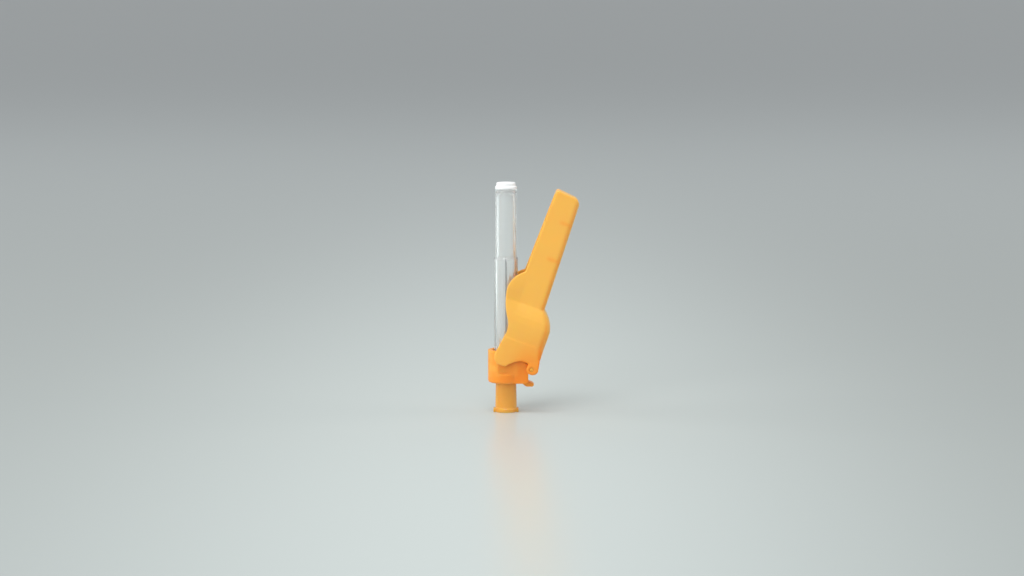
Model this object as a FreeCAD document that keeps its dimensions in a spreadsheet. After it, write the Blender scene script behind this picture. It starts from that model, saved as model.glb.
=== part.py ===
import FreeCAD, Part
import math
import os
import Sketcher

# Safety hypodermic needle: a tapered-socket hub with a steel cannula, a collar with
# an integral hinge bar, a hinged shield and a clear cap over the cannula.
# Row frame in millimetres: origin in the middle of the socket's flange, +Z along the
# cannula, the shield opens towards +X.

doc = FreeCAD.newDocument("SafetyNeedle")
sheet = doc.addObject("Spreadsheet::Sheet", "Sizes")

sizeRows = [
    # hub
    ("SocketMouthDiameter", "4.3", "socket at the flange face"),
    ("SocketTaper", "0.06", "loss of diameter for each millimetre of depth"),
    ("SocketDepth", "7.5", "flange face to the end of the taper"),
    ("FlangeDiameter", "7.0", "round part of the flange"),
    ("FlangeHeight", "1.15", "flange and lugs"),
    ("LugSpan", "7.8", "across the two lugs"),
    ("LugWidth", "3.4", "one lug, along the rim"),
    ("TubeFootDiameter", "6.7", "tube just above the flange"),
    ("TubeTopDiameter", "6.4", "tube where the collar sits"),
    ("TubeHeight", "9.3", "flange face to the collar's ledge"),
    ("CollarSeatDiameter", "5.9", "hub inside the collar's web"),
    ("CollarSeatLength", "2.6", "ledge to the top of that seat"),
    ("CapSeatDiameter", "5.5", "hub where the cap grips"),
    ("CapSeatLength", "4.6", "length of that seat"),
    ("HubShoulderLength", "2.0", "cone between cap seat and nose"),
    ("NoseFootDiameter", "3.2", "nose above the shoulder"),
    ("NoseTipDiameter", "2.4", "nose at the cannula"),
    ("NoseLength", "4.9", "shoulder to the nose tip"),
    ("FunnelDiameter", "2.2", "funnel above the socket"),
    ("FunnelLength", "2.0", "socket end to the cannula's bore"),
    # cannula
    ("CannulaDiameter", "0.515", "twenty-five gauge tube"),
    ("CannulaBoreDiameter", "0.26", "inside of the tube"),
    ("CannulaExposedLength", "25.4", "nose tip to the point"),
    ("CannulaFootStand", "0.3", "foot below the bore, in the funnel"),
    ("BevelAngle", "12", "degrees, of the ground point"),
    # adhesive
    ("WellDiameter", "1.5", "glue well in the nose"),
    ("WellDepth", "1.8", "depth of the glue well"),
    ("BeadRise", "0.5", "bead standing proud of the well"),
    # collar
    ("CollarDiameter", "11.2", "lower band"),
    ("CollarHeight", "10.2", "ledge to the rim"),
    ("CollarFootRise", "0.6", "rounding height of the lower edge"),
    ("CollarFootInset", "0.7", "rounding width of the lower edge"),
    ("BandHeight", "3.1", "ledge to the step above the band"),
    ("FlatSpan", "10.0", "across the flats above the band"),
    ("CollarWebHeight", "2.2", "floor that grips the hub"),
    ("CollarCavityDiameter", "8.3", "cup that takes the cap's foot"),
    ("BracketReach", "6.9", "axis to the face of the hinge bracket"),
    ("BracketFoot", "0.1", "ledge to the bracket's lower face"),
    ("BracketTopRise", "3.0", "hinge axis to the bracket's top"),
    ("BarWebHeight", "1.3", "web that joins the bar to the bracket"),
    ("HingeReach", "7.9", "needle axis to hinge axis"),
    ("HingeHeight", "14.0", "flange face to hinge axis"),
    ("HingeBarDiameter", "2.3", "bar of the hinge"),
    ("PinDiameter", "1.2", "stub pins at the bar's ends"),
    ("CatchReach", "8.65", "axis to the end of the catch finger"),
    ("CatchThickness", "1.1", "catch finger"),
    ("CatchDrop", "1.3", "finger's underside below the ledge"),
    ("CatchRootInset", "1.0", "collar's side to the finger's root"),
    ("CatchBendInset", "0.65", "bracket's face to the finger's bend"),
    ("CatchTip", "0.4", "bevel of the finger's end"),
    ("CatchWidth", "3.6", "catch finger, along the hinge axis"),
    # shield
    ("ShieldWall", "0.75", "moulded wall"),
    ("ShieldTopHeight", "68.7", "flange face to the closed end, shut"),
    ("ShieldTipDrop", "0.5", "slope of the end wall"),
    ("ShieldTipRadius", "2.2", "back corner of the end"),
    ("ShieldLipRadius", "0.8", "open corner of the end"),
    ("ShieldTipBack", "4.36", "back face at the end"),
    ("ShieldRootBack", "5.5", "back face at the shoulder"),
    ("ShieldTipLip", "3.7", "open edge at the end"),
    ("ShieldRootLip", "4.3", "open edge above the wings"),
    ("ShieldTipWidth", "8.0", "outside, at the closed end"),
    ("ShieldRootWidth", "9.3", "outside, above the shoulder"),
    ("ShoulderTop", "32.25", "height of the shoulder's upper line, shut"),
    ("ShoulderFoot", "26.6", "height where it starts to turn in, shut"),
    ("BulgeHeight", "24.4", "fullest height of the hood, shut"),
    ("CreaseHeight", "21.3", "crease across the hood's sides, shut"),
    ("CreaseDepth", "0.15", "depth of that crease"),
    ("CreaseLength", "0.5", "lower slope of that crease"),
    ("HoodBack", "9.45", "back of the hood"),
    ("HoodWidth", "13.2", "outside of the hood"),
    ("HoodCornerRadius", "3.0", "back corners of the hood"),
    ("CheekCornerRadius", "1.3", "back corners of the hood between its cheeks"),
    ("ChannelCornerRadius", "2.0", "back corners of the channel"),
    ("WingReach", "7.85", "needle axis to the wing's edge"),
    ("WingTop", "41.7", "top of the wings, shut"),
    ("WingMiddle", "35.5", "widest height of the wings, shut"),
    ("WingFoot", "26.4", "foot of the wings, shut"),
    ("WingUpperReach", "7.05", "needle axis to the wing's edge, half way to its top"),
    ("WingLowerReach", "6.8", "needle axis to the wing's edge, half way to its foot"),
    ("WingSpread", "12.4", "across the wings' edges"),
    ("WaistHeight", "23.7", "waist of the open edge below the wing, shut"),
    ("WaistReach", "3.45", "needle axis to the waist's edge"),
    ("WaistLength", "2.7", "waist down to the skirt's straight edge"),
    ("WaistFootReach", "3.65", "needle axis to the top of that straight edge"),
    ("WingFootReach", "4.5", "needle axis to the wing's foot"),
    ("SkirtReach", "4.45", "needle axis to the skirt's edge"),
    ("SkirtFoot", "12.1", "lowest line of the skirt, shut"),
    ("SkirtCorner", "1.9", "rounding of the skirt's lower corner"),
    ("SkirtArch", "15.4", "top of the arch beside the hinge, shut"),
    ("ArchLength", "2.2", "level part of the arch"),
    ("WaveLength", "4.2", "slope from the arch down to the skirt"),
    ("WaveRise", "0.5", "bulge of that slope"),
    ("BossDiameter", "3.2", "cheek around a pin"),
    ("CheekReach", "10.05", "needle axis to the cheek's back edge"),
    ("BossProud", "0.15", "cheek standing out of the hood"),
    ("PinClearance", "0.05", "radial, pin in its cheek"),
    ("BackWindowTop", "17.2", "top of the gap behind the hinge bar, shut"),
    ("RibThickness", "0.6", "cross ribs behind the cannula"),
    ("RibGap", "0.35", "ribs to the cannula's surface"),
    ("UpperRibHeight", "59.7", "upper rib, shut"),
    ("LowerRibHeight", "47.9", "lower rib, shut"),
    ("LockHeight", "52.4", "root of the needle lock, shut"),
    ("LockSlope", "52", "degrees, finger below level"),
    ("LockThickness", "0.7", "needle lock finger"),
    ("LockWidth", "1.6", "needle lock finger, along X"),
    ("LockOffset", "1.45", "needle axis to the finger's middle"),
    ("LockPastAxis", "1.3", "finger beyond the middle plane"),
    ("BackSlotHeight", "53.4", "middle of the slot in the back, shut"),
    ("BackSlotLength", "3.2", "slot in the back"),
    ("BackSlotWidth", "2.4", "slot in the back"),
    ("ParkAngle", "20", "degrees that the shield stands open"),
    # cap
    ("CapDiameter", "7.4", "lower part of the cap"),
    ("CapUpperDiameter", "6.75", "upper part of the cap"),
    ("CapStepHeight", "48.4", "flange face to the step"),
    ("CapTopHeight", "71.5", "flange face to the closed end"),
    ("CapWall", "0.95", "side wall"),
    ("CapEndThickness", "2.2", "closed end"),
    ("CapEndLength", "1.35", "narrower end"),
    ("CapEndInset", "0.4", "how much narrower it is"),
    ("CapSeatClearance", "0.05", "radial, cap on the hub"),
    ("CapFootGap", "0.5", "cap's foot above the collar's floor"),
    ("CapRimRadius", "0.45", "rounding of the closed end"),
]

for rowNumber, (alias, value, note) in enumerate(sizeRows, start=1):
    sheet.set(f"A{rowNumber}", note)
    sheet.set(f"B{rowNumber}", value)
    sheet.setAlias(f"B{rowNumber}", alias)
doc.recompute()


def size(name):
    return float(getattr(sheet, name))


def vec(x, y, z):
    return FreeCAD.Vector(x, y, z)


# Heights and radii that several pieces share, as expressions of the sheet.
derived = {
    "SocketEndRadius": "(Sizes.SocketMouthDiameter - Sizes.SocketTaper * Sizes.SocketDepth) / 2",
    "LugRoot": "((Sizes.TubeTopDiameter + Sizes.SocketMouthDiameter) / 4)",
    "SeatTop": "(Sizes.TubeHeight + Sizes.CollarSeatLength)",
    "BoreFoot": "(Sizes.SocketDepth + Sizes.FunnelLength)",
    "CollarRim": "(Sizes.TubeHeight + Sizes.CollarHeight)",
    "CollarFloor": "(Sizes.TubeHeight + Sizes.CollarWebHeight)",
    "BandTop": "(Sizes.TubeHeight + Sizes.BandHeight)",
}
derived["CapSeatTop"] = f"({derived['SeatTop']} + Sizes.CapSeatLength)"
derived["NoseFoot"] = f"({derived['CapSeatTop']} + Sizes.HubShoulderLength)"
derived["NoseTip"] = f"({derived['NoseFoot']} + Sizes.NoseLength)"
derived["PointHeight"] = f"({derived['NoseTip']} + Sizes.CannulaExposedLength)"
derived["BevelFoot"] = f"({derived['PointHeight']} - Sizes.CannulaDiameter / tan(Sizes.BevelAngle))"
derived["CannulaFoot"] = f"({derived['BoreFoot']} - Sizes.CannulaFootStand)"
derived["WellFloor"] = f"({derived['NoseTip']} - Sizes.WellDepth)"
derived["CapFoot"] = f"({derived['CollarFloor']} + Sizes.CapFootGap)"
derived["CapBoreFoot"] = "(Sizes.CapSeatDiameter / 2 + Sizes.CapSeatClearance)"
quarterRound = 1 - math.cos(math.radians(45))   # share of a corner that a quarter round leaves out


def originPlane(body, role):
    for feature in body.Origin.OriginFeatures:
        if feature.Role == role:
            return feature
    raise ValueError(role)


def newBody(label):
    body = doc.addObject("PartDesign::Body", label)
    body.Label = label
    return body


def outlineSketch(body, name, role, corners):
    # a closed outline of straight sides whose corners are expressions
    sketch = body.newObject("Sketcher::SketchObject", name)
    sketch.AttachmentSupport = [(originPlane(body, role), "")]
    sketch.MapMode = "FlatFace"
    places = []
    for across, up in corners:
        places.append((float(sheet.evalExpression(across)), float(sheet.evalExpression(up))))
    count = len(places)
    for index in range(count):
        start = vec(*places[index], 0)
        end = vec(*places[(index + 1) % count], 0)
        sketch.addGeometry(Part.LineSegment(start, end))
    for index in range(count):
        sketch.addConstraint(Sketcher.Constraint("Coincident", index, 2, (index + 1) % count, 1))
    for index, (across, up) in enumerate(corners):
        place = places[index]
        acrossRow = sketch.addConstraint(Sketcher.Constraint("DistanceX", -1, 1, index, 1, place[0]))
        upRow = sketch.addConstraint(Sketcher.Constraint("DistanceY", -1, 1, index, 1, place[1]))
        sketch.setExpression(f"Constraints[{acrossRow}]", across)
        sketch.setExpression(f"Constraints[{upRow}]", up)
    return sketch


def revolve(body, name, corners):
    # a turned solid about Z, from corners given as radius and height
    sketch = outlineSketch(body, name + "Outline", "XZ_Plane", corners)
    turned = body.newObject("PartDesign::Revolution", name)
    turned.Profile = sketch
    turned.ReferenceAxis = (sketch, ["V_Axis"])
    turned.Angle = 360
    doc.recompute()
    return turned


def turnedCut(body, name, corners):
    # a turned cut about Z, which must take volume away
    before = body.Shape.Volume
    sketch = outlineSketch(body, name + "Outline", "XZ_Plane", corners)
    cut = body.newObject("PartDesign::Groove", name)
    cut.Profile = sketch
    cut.ReferenceAxis = (sketch, ["V_Axis"])
    cut.Angle = 360
    doc.recompute()
    assert body.Shape.Volume < before, name


def padAcross(body, name, corners, width):
    # an outline in the XZ plane made solid to half a width each side of it
    sketch = outlineSketch(body, name + "Outline", "XZ_Plane", corners)
    pad = body.newObject("PartDesign::Pad", name)
    pad.Profile = sketch
    pad.SideType = "Symmetric"
    pad.setExpression("Length", width)
    doc.recompute()


def roundEdges(body, name, feature, radius, wanted):
    # rounds the edges of a feature whose middle passes the test
    names = []
    for index, edge in enumerate(feature.Shape.Edges, start=1):
        middle = edge.valueAt((edge.FirstParameter + edge.LastParameter) / 2)
        if wanted(edge, middle):
            names.append(f"Edge{index}")
    rounded = body.newObject("PartDesign::Fillet", name)
    rounded.Base = (feature, names)
    rounded.setExpression("Radius", radius)
    doc.recompute()


# Hub: one moulding from the lugged flange to the nose around the cannula.
hub = newBody("needle_hub")
hubTurned = revolve(hub, "HubTurned", [
    ("Sizes.SocketMouthDiameter / 2", "0 * Sizes.TubeHeight"),
    ("Sizes.FlangeDiameter / 2", "0 * Sizes.TubeHeight"),
    ("Sizes.FlangeDiameter / 2", "Sizes.FlangeHeight"),
    ("Sizes.TubeFootDiameter / 2", "Sizes.FlangeHeight"),
    ("Sizes.TubeTopDiameter / 2", "Sizes.TubeHeight"),
    ("Sizes.CollarSeatDiameter / 2", "Sizes.TubeHeight"),
    ("Sizes.CollarSeatDiameter / 2", derived["SeatTop"]),
    ("Sizes.CapSeatDiameter / 2", derived["SeatTop"]),
    ("Sizes.CapSeatDiameter / 2", derived["CapSeatTop"]),
    ("Sizes.NoseFootDiameter / 2", derived["NoseFoot"]),
    ("Sizes.NoseTipDiameter / 2", derived["NoseTip"]),
    ("Sizes.WellDiameter / 2", derived["NoseTip"]),
    ("Sizes.WellDiameter / 2", derived["WellFloor"]),
    ("Sizes.CannulaDiameter / 2", derived["WellFloor"]),
    ("Sizes.CannulaDiameter / 2", derived["BoreFoot"]),
    ("Sizes.FunnelDiameter / 2", "Sizes.SocketDepth"),
    (derived["SocketEndRadius"], "Sizes.SocketDepth"),
])
lugSketch = outlineSketch(hub, "LugOutline", "XY_Plane", [
    (derived["LugRoot"], "-Sizes.LugWidth / 2"),
    ("Sizes.LugSpan / 2", "-Sizes.LugWidth / 2"),
    ("Sizes.LugSpan / 2", "Sizes.LugWidth / 2"),
    (derived["LugRoot"], "Sizes.LugWidth / 2"),
])
lug = hub.newObject("PartDesign::Pad", "Lug")
lug.Profile = lugSketch
lug.setExpression("Length", "Sizes.FlangeHeight")
doc.recompute()
lugs = hub.newObject("PartDesign::PolarPattern", "Lugs")
lugs.Originals = [lug]
lugs.Axis = (lugSketch, ["N_Axis"])
lugs.Angle = 360
lugs.Occurrences = 2
hub.Tip = lugs
doc.recompute()

# Cannula: a drawn steel tube with a ground point.
cannulaTube = doc.addObject("Part::Cylinder", "CannulaTube")
cannulaTube.setExpression("Radius", "Sizes.CannulaDiameter / 2")
cannulaTube.setExpression("Height", f"{derived['PointHeight']} - {derived['CannulaFoot']}")
cannulaTube.setExpression("Placement.Base.z", derived["CannulaFoot"])
cannulaBore = doc.addObject("Part::Cylinder", "CannulaBore")
cannulaBore.setExpression("Radius", "Sizes.CannulaBoreDiameter / 2")
cannulaBore.setExpression("Height", f"{derived['PointHeight']} - {derived['CannulaFoot']}")
cannulaBore.setExpression("Placement.Base.z", derived["CannulaFoot"])
hollowTube = doc.addObject("Part::Cut", "HollowTube")
hollowTube.Base = cannulaTube
hollowTube.Tool = cannulaBore
bevelTool = doc.addObject("Part::Box", "BevelTool")
bevelTool.setExpression("Length", "4 * Sizes.CannulaDiameter")
bevelTool.setExpression("Width", "4 * Sizes.CannulaDiameter")
bevelTool.setExpression("Height", "16 * Sizes.CannulaDiameter")
bevelTool.setExpression("Placement.Base.x", "Sizes.CannulaDiameter / 2")
bevelTool.setExpression("Placement.Base.y", "-2 * Sizes.CannulaDiameter")
bevelTool.setExpression("Placement.Base.z", derived["BevelFoot"])
bevelTool.Placement.Rotation = FreeCAD.Rotation(vec(0, 1, 0), 0)
bevelTool.setExpression("Placement.Rotation.Angle", "-Sizes.BevelAngle")
cannula = doc.addObject("Part::Cut", "cannula")
cannula.Label = "cannula"
cannula.Base = hollowTube
cannula.Tool = bevelTool
doc.recompute()

# Adhesive: the cured bead that fills the nose's well and climbs the cannula a little.
adhesive = newBody("adhesive")
revolve(adhesive, "Bead", [
    ("Sizes.CannulaDiameter / 2", derived["WellFloor"]),
    ("Sizes.WellDiameter / 2", derived["WellFloor"]),
    ("Sizes.WellDiameter / 2", derived["NoseTip"]),
    ("Sizes.CannulaDiameter / 2 + Sizes.WellDiameter / 12",
     f"{derived['NoseTip']} + Sizes.BeadRise"),
    ("Sizes.CannulaDiameter / 2", f"{derived['NoseTip']} + Sizes.BeadRise"),
])

# Collar: a cup with flats above its lower band, a bracket that carries the hinge bar
# with a stub pin at each end, and the catch finger under the bracket.
collar = newBody("collar")
revolve(collar, "CollarTurned", [
    ("0 * Sizes.CollarDiameter", "Sizes.TubeHeight"),
    ("Sizes.CollarDiameter / 2 - Sizes.CollarFootInset", "Sizes.TubeHeight"),
    (f"Sizes.CollarDiameter / 2 - Sizes.CollarFootInset * {quarterRound}",
     f"Sizes.TubeHeight + Sizes.CollarFootRise * {quarterRound}"),
    ("Sizes.CollarDiameter / 2", "Sizes.TubeHeight + Sizes.CollarFootRise"),
    ("Sizes.CollarDiameter / 2", derived["CollarRim"]),
    ("0 * Sizes.CollarDiameter", derived["CollarRim"]),
])
for sideName, side in (("Near", "-"), ("Far", "")):
    flatSketch = outlineSketch(collar, sideName + "FlatOutline", "XY_Plane", [
        ("-Sizes.CollarDiameter", side + "Sizes.FlatSpan / 2"),
        ("Sizes.CollarDiameter", side + "Sizes.FlatSpan / 2"),
        ("Sizes.CollarDiameter", side + "Sizes.CollarDiameter"),
        ("-Sizes.CollarDiameter", side + "Sizes.CollarDiameter"),
    ])
    flatSketch.setExpression("AttachmentOffset.Base.z", derived["BandTop"])
    doc.recompute()
    beforeFlat = collar.Shape.Volume
    flat = collar.newObject("PartDesign::Pocket", sideName + "Flat")
    flat.Profile = flatSketch
    flat.setExpression("Length", "Sizes.CollarHeight")
    flat.Reversed = True
    doc.recompute()
    assert collar.Shape.Volume < beforeFlat, sideName
padAcross(collar, "Bracket", [
    ("Sizes.CollarCavityDiameter / 4", "Sizes.TubeHeight + Sizes.BracketFoot"),
    ("Sizes.BracketReach - Sizes.CollarFootInset", "Sizes.TubeHeight + Sizes.BracketFoot"),
    ("Sizes.BracketReach", "Sizes.TubeHeight + Sizes.BracketFoot + Sizes.CollarFootRise"),
    ("Sizes.BracketReach", "Sizes.HingeHeight - Sizes.BarWebHeight / 2"),
    ("Sizes.HingeReach", "Sizes.HingeHeight - Sizes.BarWebHeight / 2"),
    ("Sizes.HingeReach", "Sizes.HingeHeight + Sizes.BarWebHeight / 2"),
    ("Sizes.CollarCavityDiameter / 2", "Sizes.HingeHeight + Sizes.BracketTopRise"),
    ("Sizes.CollarCavityDiameter / 4", "Sizes.HingeHeight + Sizes.BracketTopRise"),
], "Sizes.FlatSpan")


def hingeRound(name, diameter, width):
    # a round bar along the hinge axis, on both sides of the middle plane
    sketch = collar.newObject("Sketcher::SketchObject", name + "Outline")
    sketch.AttachmentSupport = [(originPlane(collar, "XZ_Plane"), "")]
    sketch.MapMode = "FlatFace"
    centre = vec(size("HingeReach"), size("HingeHeight"), 0)
    sketch.addGeometry(Part.Circle(centre, vec(0, 0, 1), 1.0))
    acrossRow = sketch.addConstraint(Sketcher.Constraint("DistanceX", -1, 1, 0, 3, centre.x))
    upRow = sketch.addConstraint(Sketcher.Constraint("DistanceY", -1, 1, 0, 3, centre.y))
    roundRow = sketch.addConstraint(Sketcher.Constraint("Diameter", 0, 2.0))
    sketch.setExpression(f"Constraints[{acrossRow}]", "Sizes.HingeReach")
    sketch.setExpression(f"Constraints[{upRow}]", "Sizes.HingeHeight")
    sketch.setExpression(f"Constraints[{roundRow}]", diameter)
    bar = collar.newObject("PartDesign::Pad", name)
    bar.Profile = sketch
    bar.SideType = "Symmetric"
    bar.setExpression("Length", width)
    doc.recompute()


hingeRound("HingeBar", "Sizes.HingeBarDiameter", "Sizes.FlatSpan")
hingeRound("HingePins", "Sizes.PinDiameter", "Sizes.HoodWidth + 2 * Sizes.BossProud")
catchRoot = "Sizes.CollarDiameter / 2 - Sizes.CatchRootInset"
catchFoot = "Sizes.TubeHeight - Sizes.CatchDrop"
padAcross(collar, "Catch", [
    (catchRoot, "Sizes.TubeHeight + Sizes.CatchThickness"),
    (catchRoot, "Sizes.TubeHeight"),
    ("Sizes.BracketReach - Sizes.CatchBendInset", catchFoot),
    ("Sizes.CatchReach - Sizes.CatchTip", catchFoot),
    ("Sizes.CatchReach", f"{catchFoot} + Sizes.CatchTip"),
    ("Sizes.CatchReach", f"{catchFoot} + Sizes.CatchThickness - Sizes.CatchTip"),
    ("Sizes.CatchReach - Sizes.CatchTip", f"{catchFoot} + Sizes.CatchThickness"),
    ("Sizes.BracketReach", "Sizes.TubeHeight + Sizes.BracketFoot + Sizes.CollarFootRise / 2"),
    ("Sizes.BracketReach", "Sizes.TubeHeight + Sizes.CatchThickness"),
], "Sizes.CatchWidth")
turnedCut(collar, "HubSeatBore", [
    ("0 * Sizes.CollarSeatDiameter", "Sizes.TubeHeight - Sizes.CollarWebHeight"),
    ("Sizes.CollarSeatDiameter / 2", "Sizes.TubeHeight - Sizes.CollarWebHeight"),
    ("Sizes.CollarSeatDiameter / 2", derived["CollarFloor"]),
    ("Sizes.CollarCavityDiameter / 2", derived["CollarFloor"]),
    ("Sizes.CollarCavityDiameter / 2", f"{derived['CollarRim']} + Sizes.CollarWebHeight"),
    ("0 * Sizes.CollarSeatDiameter", f"{derived['CollarRim']} + Sizes.CollarWebHeight"),
])

# Cap: a clear closed tube in two diameters that grips the hub inside the collar.
cap = newBody("needle_cap")
capStep = "(Sizes.CapDiameter - Sizes.CapUpperDiameter) / 2"
capTurned = revolve(cap, "CapTurned", [
    (derived["CapBoreFoot"], derived["CapFoot"]),
    ("Sizes.CapDiameter / 2", derived["CapFoot"]),
    ("Sizes.CapDiameter / 2", f"Sizes.CapStepHeight - {capStep}"),
    ("Sizes.CapUpperDiameter / 2", "Sizes.CapStepHeight"),
    ("Sizes.CapUpperDiameter / 2", "Sizes.CapTopHeight - Sizes.CapEndLength"),
    ("Sizes.CapUpperDiameter / 2 - Sizes.CapEndInset",
     "Sizes.CapTopHeight - Sizes.CapEndLength + Sizes.CapEndInset"),
    ("Sizes.CapUpperDiameter / 2 - Sizes.CapEndInset", "Sizes.CapTopHeight"),
    ("0 * Sizes.CapDiameter", "Sizes.CapTopHeight"),
    ("0 * Sizes.CapDiameter", "Sizes.CapTopHeight - Sizes.CapEndThickness"),
    ("Sizes.CapUpperDiameter / 2 - Sizes.CapWall", "Sizes.CapTopHeight - Sizes.CapEndThickness"),
    ("Sizes.CapUpperDiameter / 2 - Sizes.CapWall", "Sizes.CapStepHeight"),
    (derived["CapBoreFoot"], f"Sizes.CapStepHeight - 2 * {capStep}"),
])
capTop = size("CapTopHeight")
roundEdges(
    cap, "CapRim", capTurned, "Sizes.CapRimRadius",
    lambda edge, middle: edge.Closed and abs(middle.z - capTop) < 0.001,
)

# Shield: built shut, with the cannula on its middle line, then turned about the hinge.
wall = size("ShieldWall")
hingeX = size("HingeReach")
hingeZ = size("HingeHeight")
topZ = size("ShieldTopHeight")
shoulderTop = size("ShoulderTop")
shoulderFoot = size("ShoulderFoot")
wingTop = size("WingTop")
wingFoot = size("WingFoot")
wingMiddle = size("WingMiddle")
hoodHalf = size("HoodWidth") / 2
rootHalf = size("ShieldRootWidth") / 2
tipHalf = size("ShieldTipWidth") / 2
wingHalf = size("WingSpread") / 2
tipBack = size("ShieldTipBack")
rootBack = size("ShieldRootBack")
hoodBack = size("HoodBack")
openX = -(size("WingReach") + 4 * wall)
creaseX = -size("ShieldRootLip") + 2 * wall
beyond = 4 * wall
# share of the shoulder's height, and share of the way from the hood in to the channel
shoulderTurns = [(0.0, 0.02), (0.33, 0.17), (0.6, 0.42), (0.77, 0.63), (0.9, 0.83), (1.0, 1.0)]


def channelBack(height):
    # back face of the channel at a height above the shoulder
    share = (height - shoulderTop) / (topZ - size("ShieldTipDrop") - shoulderTop)
    return rootBack + (tipBack - rootBack) * share


def channelHalf(height):
    # half of the channel's outside width at a height above the shoulder
    share = (height - shoulderTop) / (topZ - shoulderTop)
    return rootHalf + (tipHalf - rootHalf) * share


def section(height, back, backHalf, openHalf, corner, inset):
    # a U-shaped level section, closed on the open side, moved in by inset
    back = back - inset
    backHalf = backHalf - inset
    openHalf = openHalf - inset
    corner = corner - inset
    turn = corner * math.sin(math.radians(45))
    near = [
        vec(openX, -openHalf, height),
        vec(creaseX, -backHalf, height),
        vec(back - corner, -backHalf, height),
        vec(back - corner + turn, -backHalf + corner - turn, height),
        vec(back, -backHalf + corner, height),
    ]
    far = [vec(point.x, -point.y, point.z) for point in reversed(near)]
    edges = [
        Part.LineSegment(near[0], near[1]).toShape(),
        Part.LineSegment(near[1], near[2]).toShape(),
        Part.Arc(near[2], near[3], near[4]).toShape(),
        Part.LineSegment(near[4], far[0]).toShape(),
        Part.Arc(far[0], far[1], far[2]).toShape(),
        Part.LineSegment(far[2], far[3]).toShape(),
        Part.LineSegment(far[3], far[4]).toShape(),
        Part.LineSegment(far[4], near[0]).toShape(),
    ]
    return Part.Wire(edges)


def shieldSections(inset, lowest, highest):
    # the level sections from the skirt to the closed end
    hoodCorner = size("HoodCornerRadius")
    channelCorner = size("ChannelCornerRadius")
    rise = shoulderTop - shoulderFoot
    creaseHeight = size("CreaseHeight")
    creaseHalf = hoodHalf - size("CreaseDepth")
    cheekCorner = size("CheekCornerRadius")
    rows = [
        (lowest, hoodBack, hoodHalf, hoodHalf, cheekCorner),
        (size("BackWindowTop") + wall / 2, hoodBack, hoodHalf, hoodHalf, cheekCorner),
        (creaseHeight - size("CreaseLength"), hoodBack, hoodHalf, hoodHalf, hoodCorner),
        (creaseHeight, hoodBack, creaseHalf, creaseHalf, hoodCorner),
        (size("BulgeHeight"), hoodBack, hoodHalf, hoodHalf, hoodCorner),
    ]
    # the shoulder turns over in a rounded step and runs out into the channel
    for share, part in shoulderTurns:
        height = shoulderFoot + share * rise
        back = hoodBack + (channelBack(shoulderTop) - hoodBack) * part
        half = hoodHalf + (rootHalf - hoodHalf) * part
        wide = hoodHalf + (wingHalf - hoodHalf) * part
        corner = hoodCorner + (channelCorner - hoodCorner) * part
        rows.append((height, back, half, max(wide, half), corner))
    rows.append((wingMiddle, channelBack(wingMiddle), channelHalf(wingMiddle), wingHalf, channelCorner))
    for height in (wingTop, highest):
        half = channelHalf(height)
        rows.append((height, channelBack(height), half, half, channelCorner))
    return [section(*row, inset) for row in rows]


def arcThrough(first, middle, last):
    return Part.Arc(first, middle, last).toShape()


def lineTo(first, last):
    return Part.LineSegment(first, last).toShape()


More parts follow.
